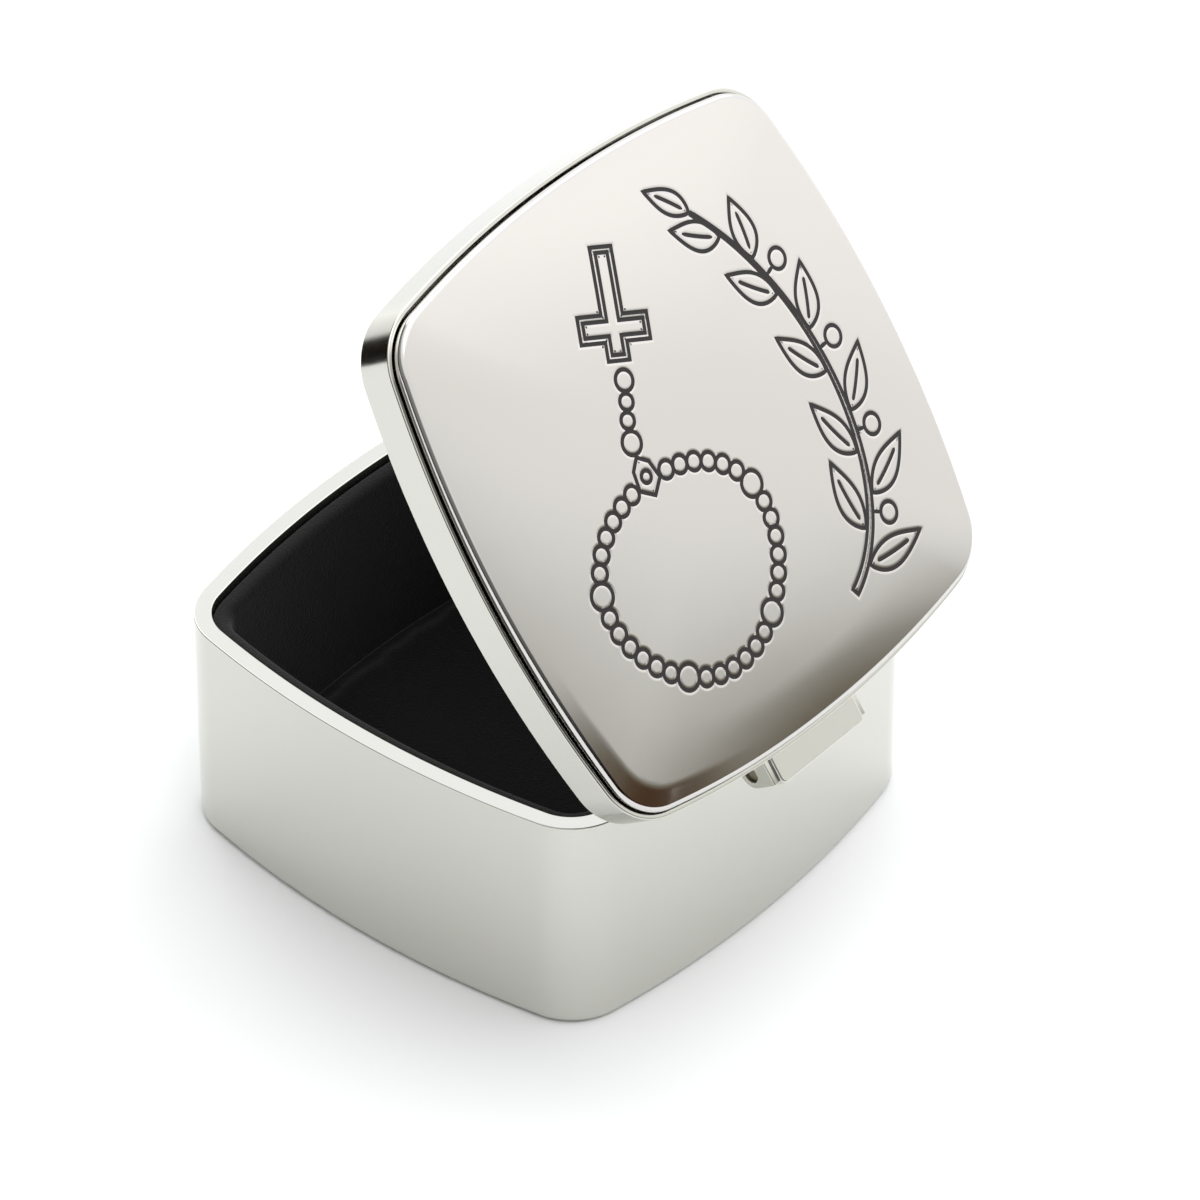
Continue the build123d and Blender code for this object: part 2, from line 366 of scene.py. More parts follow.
# Cotton velvet: a short upright pile that takes nearly all light, greyer where it is seen
# across its tips, with faint shading where the pile leans.  Its tufts are 0.1 mm across and are
# drawn at 0.2 mm so that they show.  Given the height of the top edge, the colour is painted
# lighter over the last 0.9 mm below it: a painted sheen where light falls on the rolled top.
def velvet(name, sheen_top=None):
    material = new_material(name)
    place = node(material, "ShaderNodeTexCoord").outputs["Object"]
    pile = node(material, "ShaderNodeTexNoise", Vector=place, Scale=5000.0, Detail=2.0)
    nap = node(material, "ShaderNodeTexNoise", Vector=place, Scale=140.0, Detail=3.0)
    mixed = node(material, "ShaderNodeMix", {"data_type": "RGBA"}, Factor=nap.outputs["Fac"],
                 _6=colour("#070707"), _7=colour("#0E0E0E"))
    # Painted sheen: a lighter #232323 is blended in by height over the 0.9 mm below the top edge, standing
    # in for light on the roll.
    if sheen_top is not None:
        height = node(material, "ShaderNodeSeparateXYZ", Vector=place).outputs["Z"]
        painted_sheen = node(material, "ShaderNodeMapRange", Value=height, From_Min=(sheen_top - 0.9) * MM,
                      From_Max=sheen_top * MM)
        mixed = node(material, "ShaderNodeMix", {"data_type": "RGBA"},
                     Factor=painted_sheen.outputs["Result"], _6=mixed.outputs[2], _7=colour("#232323"))
    bump = node(material, "ShaderNodeBump", Height=pile.outputs["Fac"], Strength=0.6,
                Distance=0.0002)
    shader = node(material, "ShaderNodeBsdfPrincipled", Base_Color=mixed.outputs[2], Roughness=1.0,
                  Normal=bump.outputs["Normal"])
    shader.inputs["Specular IOR Level"].default_value = 0.1
    shader.inputs["Sheen Weight"].default_value = 0.12
    shader.inputs["Sheen Roughness"].default_value = 0.5
    node(material, "ShaderNodeOutputMaterial", Surface=shader.outputs["BSDF"])
    return material


black_velvet = velvet("black velvet")

wall_velvet_outer = 1.9
wall_velvet_inner = 3.7
wall_card_face = 2.7
wall_card_top = 23.7
lining_top = 24.7
# Its top roll carries the painted sheen, a lighter colour by height.
wall_lining = make_piece("velvet_wall_lining", carried(
    rounded([(-wall_card_face, tray_floor), (-wall_card_face, wall_card_top),
             (-wall_velvet_outer, wall_card_top), (-wall_velvet_outer, lining_top),
             (-wall_velvet_inner, lining_top), (-wall_velvet_inner, tray_floor)],
            [0, 0, 0, 0.6, 1.1, 0], closed=True), tray_outline, closed=True),
    [velvet("black velvet, with painted sheen at the top", lining_top)])
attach(wall_lining, "tray")
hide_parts("wall_velvet")


def pad(outline, low, thickness, edge, crown):
    """A thin pad: rings of the outline scaled by a share, from the flat back round the edge to
    the middle of the face.

    The face's height is crown times (1 - share squared) over the edge's, and the edge is a
    quarter circle of radius edge; the ring at each step is the outline moved in by
    edge (1 - cos t) and up by edge (1 + sin t - 1).
    """
    points, normals = outline
    turn = np.linspace(0, math.pi / 2, 9)
    share = np.linspace(1, 0, 42)[1:]
    rows = [np.column_stack([points * s, np.full(len(points), low)]) for s in (0.0, 0.33, 0.66)]
    rows.append(np.column_stack([points, np.full(len(points), low)]))
    top = low + thickness - edge
    rows += [np.column_stack([points - normals * edge * (1 - math.cos(t)),
                              np.full(len(points), top + edge * math.sin(t))]) for t in turn]
    inner = points - normals * edge
    rows += [np.column_stack([inner * s, np.full(len(points), low + thickness
                                                 + crown * (1 - s**2))]) for s in share]
    rows = np.stack(rows)
    count = rows.shape[1]
    vertices = np.concatenate([rows[0][:1], rows[1:-1].reshape(-1, 3), rows[-1][:1]])
    i = np.arange(count)
    following = (i + 1) % count
    a = 1 + count * np.arange(len(rows) - 3)[:, None]
    quads = np.stack([a + i, a + following, a + count + following, a + count + i], -1)
    last = len(vertices) - 1
    fans = ([[0, 1 + int(f), 1 + int(k)] for k, f in zip(i, following)]
            + [[last, last - count + int(k), last - count + int(f)] for k, f in zip(i, following)])
    return vertices, quads.reshape(-1, 4).tolist() + fans


def soft_piece(name, part, finish, pinned_below, place=None, swell=0.5):
    """A velvet pad as a cloth skin blown up a little on its card.

    The skin is simulated ten times its size, because the solver works in centimetres: the back
    is pinned, pressure fills it, and a point's lift over its first height is kept between a
    third of swell downwards and swell upwards.  place turns the finished pad into the lid.
    """
    vertices, faces = part
    mesh = bpy.data.meshes.new(name)
    mesh.from_pydata((vertices * 10 * MM).tolist(), [], faces)
    skin = bpy.data.objects.new(name, mesh)
    bpy.context.scene.collection.objects.link(skin)
    lifted = np.zeros(len(vertices))
    held = skin.vertex_groups.new(name="held")
    held.add(np.nonzero(vertices[:, 2] < pinned_below)[0].tolist(), 1.0, "REPLACE")
    cloth = skin.modifiers.new("cloth", "CLOTH")
    cloth.settings.vertex_group_mass = "held"
    cloth.settings.use_pressure = True
    cloth.settings.uniform_pressure_force = 3.0
    cloth.settings.tension_stiffness = 12.0
    cloth.settings.compression_stiffness = 12.0
    cloth.settings.bending_stiffness = 0.6
    cloth.settings.effector_weights.gravity = 0.0
    cloth.collision_settings.use_collision = False
    for step in range(1, 21):
        bpy.context.scene.frame_set(step)
    shape = skin.evaluated_get(bpy.context.evaluated_depsgraph_get()).to_mesh()
    moved = np.empty(len(vertices) * 3)
    shape.vertices.foreach_get("co", moved)
    lifted = np.clip(moved.reshape(-1, 3)[:, 2] / (10 * MM) - vertices[:, 2], -swell / 3, swell)
    skin.modifiers.clear()
    skin.vertex_groups.clear()
    bpy.context.scene.frame_set(1)
    finished = vertices + np.column_stack([np.zeros((len(vertices), 2)), lifted])
    if place is not None:
        finished = placed((finished, None, np.zeros((1, 3))), *place)[0]
    mesh.vertices.foreach_set("co", (finished * MM).ravel())
    mesh.polygons.foreach_set("use_smooth", np.ones(len(mesh.polygons), bool))
    mesh.materials.append(finish)
    mesh.update()
    return skin


def inset(outline, step):
    """The outline moved inwards along its normals."""
    return outline[0] - outline[1] * step, outline[1]


pad_outline = bowed_square(tray_half_width, tray_bow_radius, tray_corner_radius, 40, 12)
floor_pad = soft_piece(
    "velvet_floor_pad",
    pad(inset(pad_outline, 3.8), low=2.8, thickness=1.45, edge=0.8, crown=0.35),
    black_velvet, pinned_below=3.0)
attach(floor_pad, "tray")
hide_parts("floor_velvet")

# ---------------------------------------------------------------------------------------------
# Band of the lid
# A cast and plated frame: a plain wall ending in a narrow bead, with a ledge inside for the
# plate.  It stands open, turned about the pin.
# ---------------------------------------------------------------------------------------------
lid_half_width = 29.7
lid_bow_radius = 111.2
lid_corner_radius = 6.8
lid_pivot = 31.35
rest_opening = math.radians(54.2)
seat_height = 1.2
lid_x = (1, 0, 0)
lid_y = (0, math.cos(rest_opening), -math.sin(rest_opening))
lid_z = (0, math.sin(rest_opening), math.cos(rest_opening))
lid_origin = (0, pin_y - lid_pivot * math.cos(rest_opening) + seat_height * math.sin(rest_opening),
              pin_z + lid_pivot * math.sin(rest_opening) + seat_height * math.cos(rest_opening))
lid_place = (lid_origin, lid_x, lid_y, lid_z)
band_height = 4.3
band_wall = 2.4
bead_width = 0.5
ledge_width = 4.6
ledge_low = 2.0
ledge_top = 3.0
lid_outline = bowed_square(lid_half_width, lid_bow_radius, lid_corner_radius)
band_profile = rounded(
    [(0, 0), (0, band_height), (-bead_width, band_height), (-bead_width, ledge_top),
     (-ledge_width, ledge_top), (-ledge_width, ledge_low), (-band_wall, ledge_low),
     (-band_wall, 0)],
    [0.15, 0.16, 0.1, 0, 0, 0, 0, 0.2], closed=True)
band = make_piece("lid_band", placed(carried(band_profile, lid_outline, closed=True), *lid_place),
                  [cast_nickel])
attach(band, "lid")
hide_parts("lid_frame")

# ---------------------------------------------------------------------------------------------
# Hinge leaf
# Two ears and the tab over them, cast in one with the band: the ears hold the pin's ends and
# the tab covers the lug.
# ---------------------------------------------------------------------------------------------
ear_radius = 1.5
ear_inner = 4.8
ear_outer = 7.0
ear_height = 2.55
pin_radius = 0.85
band_rear = lid_half_width - lid_pivot
tab_half_width = 6.25
tab_start = band_rear - 0.8
tab_reach = 1.85
tab_low = 1.55
tab_high = 2.95
root_end = -1.3
lid_hinge_place = ((0, pin_y, pin_z), lid_x, lid_y, lid_z)
ear_arc = np.linspace(math.pi, 2 * math.pi, 33)
ear_outline = outlined([(ear_radius * math.cos(a), ear_radius * math.sin(a)) for a in ear_arc]
                       + rounded([(ear_radius, 0.3), (ear_radius, ear_height),
                                  (-ear_radius, ear_height), (-ear_radius, 0.3)],
                                 [0, 0.12, 0.12, 0], closed=False).tolist())
ears = [eyelet(ear_outline, pin_radius, low, high, 0.13)
        for low, high in ((-ear_outer, -ear_inner), (ear_inner, ear_outer))]


def slab(outline, low, high, edge):
    """A block with an outline in the lid's plane, from low to high, its upper edge rounded."""
    profile = rounded([(0, low), (0, high), (-1.0, high)], [0, edge, 0], closed=False)[:-1]
    return capped(carried(profile, outline, closed=False), len(outline[0]), (0, 0, -1), (0, 0, 1))


tab_outline = outlined(rounded([(-tab_half_width, tab_start), (tab_half_width, tab_start),
                                (tab_half_width, tab_reach), (-tab_half_width, tab_reach)],
                               [0.1, 0.1, 0.6, 0.6], closed=True, steps=10))
roots = [slab(outlined([(low, tab_start), (high, tab_start), (high, root_end), (low, root_end)]),
              seat_height, ear_height, 0.1)
         for low, high in ((-ear_outer, -ear_inner), (ear_inner, ear_outer))]
# Nickel plate over a tumbled casting: the same metal, duller, because the leaf is too small and
# awkward for the polishing wheel.
tumbled_nickel = nickel("nickel plate on tumbled casting", "#D2D2CB", 0.24, 0.08)
leaf = placed(joined(slab(tab_outline, tab_low, tab_high, 0.22), *ears, *roots), *lid_hinge_place)
hinge_leaf = make_piece("hinge_leaf", leaf, [tumbled_nickel])
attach(hinge_leaf, "lid")
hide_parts("lid_frame")

# ---------------------------------------------------------------------------------------------
# Hinge pin
# A cut length of drawn steel wire, pressed into the ears and free to turn in the lug, its ends
# a little below the ears' faces.
# ---------------------------------------------------------------------------------------------
# Drawn steel, cut off and left bare: darker and duller than the plate round it.
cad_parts["hinge_pin"].data.materials.clear()
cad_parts["hinge_pin"].data.materials.append(nickel("bare drawn steel", "#868070", 0.38, 0.3))

# ---------------------------------------------------------------------------------------------
# Domed plate
# Sheet brass pressed to a low dome with a rolled edge, nickel plated and polished, and set on
# the ledge inside the bead.
# ---------------------------------------------------------------------------------------------
roll_radius = 0.6
plate_inset = 0.66
dome_inset = plate_inset + roll_radius
dome_half_width = lid_half_width - dome_inset
dome_foot = 5.5
dome_rise = 0.9
dome_power = 2.4
rear_fall = 0.2
rear_fall_start = 0.83
rear_spread = math.radians(30)
corner_fall = 0.27
corner_fall_start = 0.952
corner_bend = 0.3
corner_spread = math.radians(13)
dome_edge = bowed_square(dome_half_width, lid_bow_radius - dome_inset,
                         lid_corner_radius - dome_inset, 80, 36)
edge_angle = np.arctan2(dome_edge[0][:, 1], dome_edge[0][:, 0])
edge_reach = np.linalg.norm(dome_edge[0], axis=1) / dome_half_width
edge_order = np.argsort(edge_angle)


def dome_share(x, y):
    """Where a point lies between the dome's centre, 0, and its edge, 1.

    A level line is the dome's outline shrunk by the share and drawn towards a circle by the
    square of the share, and the share is found with Newton's steps.
    """
    reach = np.hypot(x, y) / dome_half_width
    square = np.interp(np.arctan2(y, x), edge_angle[edge_order], edge_reach[edge_order],
                       period=2 * math.pi) - 1
    share = reach.copy()
    for _ in range(12):
        value = share * (1 + square * share**2) - reach
        share = share - value / (1 + 3 * square * share**2)
    return np.clip(share, 0, 1.02)


def dome_height(x, y):
    """Height of the dome over the lid's lower face.

    The rise falls off with a power of the share.  The last sixth of the rear side falls
    further by rear_fall times the square of its own share, and the last twentieth of the rear
    +X corner by corner_fall along a line that starts softly; both fade to the sides with the
    square of the angle.
    """
    share = dome_share(x, y)
    angle = np.arctan2(y, x)
    rear = np.exp(-((angle - math.pi / 2) / rear_spread) ** 2)
    corner = np.exp(-((angle - math.pi / 4) / corner_spread) ** 2)
    last = np.clip((share - rear_fall_start) / (1 - rear_fall_start), 0, 1.05) ** 2
    end = np.clip((share - corner_fall_start) / (1 - corner_fall_start), 0, 1.05)
    soft = np.where(end < corner_bend, end**2 / (2 * corner_bend), end - corner_bend / 2)
    soft = soft / (1 - corner_bend / 2)
    return (dome_foot + dome_rise * (1 - share ** dome_power) - rear_fall * rear * last
            - corner_fall * corner * soft)


def dome_normal(x, y, step=0.06):
    """The dome's normals, from its slopes over a short step each way."""
    slope_x = (dome_height(x + step, y) - dome_height(x - step, y)) / (2 * step)
    slope_y = (dome_height(x, y + step) - dome_height(x, y - step)) / (2 * step)
    normal = np.stack([-slope_x, -slope_y, np.ones_like(slope_x)], -1)
    return normal / np.linalg.norm(normal, axis=-1)[..., None]


plated_sheet = nickel("polished nickel plate on pressed brass", "#CECCC9", 0.09, 0.035)

roll_turn = np.linspace(0, math.radians(86), 13)
roll_profile = np.concatenate([
    [(-2.0, ledge_top), (0, ledge_top)],
    np.column_stack([-roll_radius * (1 - np.cos(roll_turn)),
                     dome_foot - roll_radius * (1 - np.sin(roll_turn))])])
plate_outline = bowed_square(lid_half_width - plate_inset, lid_bow_radius - plate_inset,
                             lid_corner_radius - plate_inset, 80, 36)
ring_count = len(plate_outline[0])
ring = plate_outline[0] + plate_outline[1] * roll_profile[-1, 0]
ring_height = dome_height(ring[:, 0], ring[:, 1])
# Normals are taken a hair inside the point, where the dome is defined on both sides of it.
just_inside = 0.996
ring_normal = dome_normal(*(ring * just_inside).T)

# The top: a square grid in the middle, and rings that follow the edge where the dome bends most.
grid_step = 0.7
grid_share = 0.885
grid = np.arange(-28.4, 28.5, grid_step)
gx, gy = (g.ravel() for g in np.meshgrid(grid, grid))
inside = dome_share(gx, gy) < grid_share
inner_rings = [plate_outline[0] - plate_outline[1] * (roll_radius + step)
               for step in (0.25, 0.5, 0.75, 1.0, 1.25, 1.5, 1.75, 2.0, 2.3, 2.6)]
flat_points = np.concatenate([ring, *inner_rings, np.column_stack([gx[inside], gy[inside]])])
found = delaunay_2d_cdt(flat_points.tolist(), [(k, (k + 1) % ring_count) for k in range(ring_count)],
                        [], 1, 1e-6, True)
flat = np.array([tuple(v) for v in found[0]])
given = np.full(len(flat_points), -1)
for made, sources in enumerate(found[3]):
    given[sources] = made
ring_index = given[:ring_count]
top_faces = np.array(found[2])
first, second, third = (flat[top_faces[:, k]] for k in range(3))
turned = ((second - first) * (third - first)[:, ::-1] * (1, -1)).sum(1) < 0
top_faces[turned] = top_faces[turned][:, ::-1]
top_vertices = np.column_stack([flat, dome_height(flat[:, 0], flat[:, 1])])
top_shading = dome_normal(*(flat * just_inside).T)
top_vertices[ring_index, 2] = ring_height
edge_vertices, edge_faces, edge_shading = carried(roll_profile, plate_outline, closed=False)
edge_rows = edge_vertices.reshape(-1, ring_count, 3)
# The edge's wall follows the dome's own edge from the band's top upwards.
sink = np.clip((edge_rows[..., 2] - band_height) / (dome_foot - band_height), 0, 1)
edge_rows[..., 2] += sink * (ring_height - edge_rows[-1, :, 2])
edge_shading = edge_shading.reshape(-1, ring_count, 4, 3)
edge_shading[-1, :, 3] = ring_normal
edge_shading[-1, :, 2] = np.roll(ring_normal, -1, 0)
edge_faces = np.array(edge_faces) + len(flat)
top_row = len(flat) + len(edge_vertices) - ring_count
edge_faces = np.where(edge_faces >= top_row, ring_index[(edge_faces - top_row) % ring_count], edge_faces)
under = list(range(len(flat), len(flat) + ring_count))[::-1]
dome = make_piece("lid_dome", placed((
    np.concatenate([top_vertices, edge_vertices[:-ring_count]]),
    top_faces.tolist() + edge_faces.tolist() + [under],
    np.concatenate([top_shading[top_faces].reshape(-1, 3), edge_shading.reshape(-1, 3),
                    np.tile((0, 0, -1.0), (ring_count, 1))])), *lid_place), [plated_sheet])
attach(dome, "lid")
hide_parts("lid_plate")

# ---------------------------------------------------------------------------------------------
# Engraving
# Lines cut into the plated dome and filled with black enamel: a string of prayer beads with a
# plain cross, and an olive branch.  Each line is a shallow groove whose lips lean in.
# ---------------------------------------------------------------------------------------------
line_half_width = 0.2
lip_width = 0.3
lip_lean = math.radians(7)
end_width = 0.35
lowest_lift = 0.003
lift_step = 0.00012


def ring_line(centre, radius, steps=22):
    """A circle: the centre plus the radius times (cos a, sin a)."""
    angle = np.linspace(0, 2 * math.pi, steps, endpoint=False)
    return np.array(centre) + radius * np.stack([np.cos(angle), np.sin(angle)], 1)


def curve_line(points, steps):
    """A smooth line through four guide points, as a cubic Bezier curve."""
    a, b, c, d = (np.array(p, float) for p in points)
    t = np.linspace(0, 1, steps)[:, None]
    return (1 - t)**3 * a + 3 * (1 - t)**2 * t * b + 3 * (1 - t) * t**2 * c + t**3 * d


def leaf_lines(base, aim, length, width, bend):
    """A long leaf's outline and its middle vein.

    The middle line runs from the base along aim and bends by bend times the square of the
    share; the edge lies at width / 2 times sin(pi share^0.8) on each side.
    """
    along = np.array([math.cos(aim), math.sin(aim)])
    across = np.array([-along[1], along[0]])
    share = np.linspace(0, 1, 22)[:, None]
    middle = np.array(base) + along * length * share + across * bend * length * share**2
    half = width / 2 * np.sin(math.pi * share**0.8)
    edge = np.concatenate([middle + across * half, (middle - across * half)[-2:0:-1]])
    return edge, middle[3:17]


def spread(line, closed, step=0.3):
    """The line with points no further apart than step, its corners kept."""
    ends = np.roll(line, -1, 0) if closed else line[1:]
    starts = line if closed else line[:-1]
    parts = [np.linspace(a, b, max(1, math.ceil(np.linalg.norm(b - a) / step)), endpoint=False)
             for a, b in zip(starts, ends)]
    return np.concatenate(parts + ([] if closed else [line[-1:]]))


def engraved(line, closed, number):
    """An engraved line laid on the dome: across it a lip, the black fill and the other lip.

    Section by section the points lie at fixed steps to both sides of the line and at the
    dome's height plus a lift of a few thousandths; a lip's normal leans towards the groove by
    lip_lean at the groove and not at all at its outer edge.  The number keeps lines that cross
    from lying at one height.
    """
    line = spread(np.asarray(line, float), closed)
    ahead = np.roll(line, -1, 0) - line
    if not closed:
        ahead[-1] = ahead[-2]
    ahead /= np.linalg.norm(ahead, axis=1)[:, None]
    before = np.roll(ahead, 1, 0)
    if not closed:
        before[0] = ahead[0]
    along = ahead + before
    size = np.linalg.norm(along, axis=1)[:, None]
    mitre = np.minimum(2 / np.maximum(size, 0.5), 1.5)
    side = np.stack([-along[:, 1], along[:, 0]], 1) / np.maximum(size, 1e-9) * mitre
    half, lip = line_half_width, line_half_width + lip_width
    width = np.ones((len(line), 1))
    if not closed:
        width[[0, -1]] = end_width
        width[[1, -2]] = np.maximum(width[[1, -2]] * 0.9, end_width)
    low = lowest_lift + lift_step * (number % 25)
    steps = np.array([-lip, -lip + 0.02, -half - 0.01, -half, -half / 2, 0, half / 2, half,
                      half + 0.01, lip - 0.02, lip, lip - 0.1, -lip + 0.1])
    lifts = np.array([-0.012, low, low, low + 0.006, low + 0.009, low + 0.010, low + 0.009,
                      low + 0.006, low, low, -0.012, -0.06, -0.06])
    lean = np.array([0, 0, 1, 1, 0.3, 0, -0.3, -1, -1, 0, 0, 0, 0]) * math.tan(lip_lean)
    places = line[:, None] + side[:, None] * steps[None, :, None] * width[:, None]
    x, y = places[..., 0], places[..., 1]
    vertices = np.stack([x, y, dome_height(x, y) + lifts], -1)
    normal = dome_normal(x, y)
    unit = side / np.linalg.norm(side, axis=1)[:, None]
    normal[..., :2] += unit[:, None] * lean[None, :, None]
    normal[:, 11:, 2] = -1
    normal /= np.linalg.norm(normal, axis=-1)[..., None]
    rows, columns = x.shape
    a = np.arange(rows if closed else rows - 1)[:, None]
    b = (a + 1) % rows
    k = np.arange(columns)[None]
    j = (k + 1) % columns
    faces = np.stack([a * columns + k, b * columns + k, b * columns + j, a * columns + j], -1)
    black = np.broadcast_to((k >= 2) & (k < 8), faces.shape[:2])
    faces = faces.reshape(-1, 4)
    finish = black.reshape(-1).astype(int)
    shading = normal.reshape(-1, 3)[faces].reshape(-1, 3)
    faces = faces.tolist()
    if not closed:
        last = (rows - 1) * columns
        faces += [list(range(columns)), list(range(last, last + columns))[::-1]]
        shading = np.concatenate([shading, np.tile((0, 0, 1.0), (2 * columns, 1))])
        finish = np.concatenate([finish, [1, 1]])
    return (vertices.reshape(-1, 3), faces, shading), finish


lines = []

# The string of beads: a loop of small beads with a larger one after every sixth, then a tail.
loop_x, loop_y, loop_half_height = 7.6, 9.4, 10.0
medal_gap = 3.2
loop_angle = np.linspace(0, 2 * math.pi, 400, endpoint=False)
loop = np.stack([loop_x + (10.2 + 1.2 * np.cos(loop_angle)) * np.sin(loop_angle) * 1.1,
                 loop_y - loop_half_height * np.cos(loop_angle)], 1)
loop_length = np.concatenate([[0], np.cumsum(np.linalg.norm(np.roll(loop, -1, 0) - loop, axis=1))])
loop_closed = np.concatenate([loop, loop[:1]])
small_bead, large_bead = 0.88, 1.28
bead_sizes = ([small_bead] * 6 + [large_bead]) * 4 + [small_bead] * 6
bead_gap = (loop_length[-1] - 2 * sum(bead_sizes) - medal_gap) / (len(bead_sizes) + 1)
travel = medal_gap / 2 + bead_gap
for size in bead_sizes:
    centre = [np.interp(travel + size, loop_length, loop_closed[:, k]) for k in (0, 1)]
    lines.append((ring_line(centre, size, 20 if size < 1 else 26), True))
    travel += 2 * size + bead_gap
medal = np.array((loop_x, -1.0))
lines.append((medal + np.array([(0, 2.0), (1.45, 0.8), (1.1, -1.1), (0, -2.1), (-1.1, -1.1),
                                (-1.45, 0.8)]), True))
lines.append((ring_line(medal, 0.6, 16), True))
tail = curve_line([(7.5, -3.3), (7.2, -6.3), (5.6, -7.4), (4.4, -10.4)], 60)
tail_length = np.concatenate([[0], np.cumsum(np.linalg.norm(np.diff(tail, axis=0), axis=1))])
for reach, size in ((1.2, 1.15), (3.35, 0.8), (5.15, 0.8), (7.2, 1.05)):
    centre = [np.interp(reach, tail_length, tail[:, k]) for k in (0, 1)]
    lines.append((ring_line(centre, size, 22), True))

# The plain cross at its end, with a second line inside its edge.
cross_at, cross_turn = np.array((2.3, -15.6)), math.radians(-24)
cross_axes = np.array([(math.cos(cross_turn), math.sin(cross_turn)),
                       (-math.sin(cross_turn), math.cos(cross_turn))])
for arm, half, top, foot in ((4.2, 1.3, 4.3, -6.6), (3.65, 0.72, 3.75, -6.05)):
    bar = 1.2
    cross = np.array([(half, top), (-half, top), (-half, bar + half), (-arm, bar + half),
                      (-arm, bar - half), (-half, bar - half), (-half, foot), (half, foot),
                      (half, bar - half), (arm, bar - half), (arm, bar + half), (half, bar + half)])
    lines.append((cross_at + cross @ cross_axes, True))

# The olive branch along one side: a double stem, leaves to left and right with a vein, olives.
# Towards the tip the leaves grow shorter and lie closer to the stem.
stem = curve_line([(-9.0, 21.0), (-20.0, 16.0), (-22.0, -5.0), (-12.0, -19.0)], 200)
stem_ahead = np.gradient(stem, axis=0)
stem_ahead /= np.linalg.norm(stem_ahead, axis=1)[:, None]
stem_side = np.stack([-stem_ahead[:, 1], stem_ahead[:, 0]], 1)
taper = np.linspace(0.42, 0.12, len(stem))[:, None]
lines.append((np.concatenate([stem + stem_side * taper, (stem - stem_side * taper)[::-1]]), True))
for number, (at, hand) in enumerate(((18, -1), (36, 1), (54, -1), (74, 1), (92, -1), (112, 1),
                                     (130, -1), (150, 1), (167, -1), (184, 1))):
    heading = math.atan2(stem_ahead[at, 1], stem_ahead[at, 0])
    base = stem[at] + stem_side[at] * hand * (taper[at, 0] + 0.2)
    edge, vein = leaf_lines(base, heading + hand * math.radians(50 - 1.6 * number),
                            7.6 - 0.18 * number, 2.9, -hand * 0.14)
    lines += [(edge, True), (vein, False)]
tip, tip_vein = leaf_lines(stem[-1] + stem_ahead[-1] * 0.3, math.atan2(*stem_ahead[-1][::-1]),
                           5.6, 2.4, 0.1)
lines += [(tip, True), (tip_vein, False)]
for at, hand in ((45, -1), (83, -1), (121, -1), (158, -1)):
    stalk = stem[at] + stem_side[at] * hand * np.array([[taper[at, 0]], [0.9], [1.4]])
    lines.append((stalk, False))
    lines.append((ring_line(stem[at] + stem_side[at] * hand * 2.45, 1.05, 28), True))


# Black enamel: glass-smooth when it is fired, here wiped into a groove 0.3 mm wide and a little
# dull, so that it stays dark from any side.
def enamel(name, shade):
    material = new_material(name)
    place = node(material, "ShaderNodeTexCoord").outputs["Object"]
    cloud = node(material, "ShaderNodeTexNoise", Vector=place, Scale=1500.0, Detail=2.0)
    mixed = node(material, "ShaderNodeMix", {"data_type": "RGBA"}, Factor=cloud.outputs["Fac"],
                 _6=colour(shade), _7=colour("#1B1716"))
    shader = node(material, "ShaderNodeBsdfPrincipled", Base_Color=mixed.outputs[2], Roughness=0.5)
    node(material, "ShaderNodeOutputMaterial", Surface=shader.outputs["BSDF"])
    return material


black_enamel = enamel("black enamel", "#0F0C0B")
cuts = [engraved(line, closed, number) for number, (line, closed) in enumerate(lines)]
engraving = make_piece("lid_engraving", placed(joined(*[part for part, _ in cuts]), *lid_place),
                       [plated_sheet, black_enamel], np.concatenate([finish for _, finish in cuts]))
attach(engraving, "lid")

# ---------------------------------------------------------------------------------------------
# Velvet lining of the lid
# A thin padded square of the same velvet, stuck on the lid's card inside the band.
# ---------------------------------------------------------------------------------------------
lid_card_low = 1.2
lid_pad_outline = inset(bowed_square(lid_half_width, lid_bow_radius, lid_corner_radius, 40, 12), 2.5)
facing_down = (tuple(np.array(lid_origin) + lid_card_low * np.array(lid_z)), lid_x,
               tuple(-np.array(lid_y)), tuple(-np.array(lid_z)))
lid_pad = soft_piece(
    "velvet_lid_pad", pad(lid_pad_outline, low=0.0, thickness=0.85, edge=0.6, crown=0.15),
    black_velvet, pinned_below=0.12, place=facing_down, swell=0.25)
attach(lid_pad, "lid")
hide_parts("lid_velvet")

# ---------------------------------------------------------------------------------------------
# Table, light and camera
# A matt white table a metre square, under a broad soft light that comes from above and from
# beyond the -X side.
# ---------------------------------------------------------------------------------------------
table_mesh = bpy.data.meshes.new("table")
table_mesh.from_pydata([(-0.5, -0.5, 0), (0.5, -0.5, 0), (0.5, 0.5, 0), (-0.5, 0.5, 0)], [], [(0, 1, 2, 3)])
table = bpy.data.objects.new("table", table_mesh)
bpy.context.scene.collection.objects.link(table)
table_white = new_material("matt white table")
table_shader = node(table_white, "ShaderNodeBsdfPrincipled", Base_Color=colour("#F6F7F8"),
                    Roughness=0.95)
node(table_white, "ShaderNodeOutputMaterial", Surface=table_shader.outputs["BSDF"])
table_mesh.materials.append(table_white)

# The studio: a bright tent whose brightness grows with height and towards the -X side, where
# the lamps are, and falls to a dark room near the horizon on the +X side.
world = bpy.data.worlds.new("studio")
bpy.context.scene.world = world
world.use_nodes = True
world.node_tree.nodes.clear()
direction = node(world, "ShaderNodeTexCoord").outputs["Generated"]


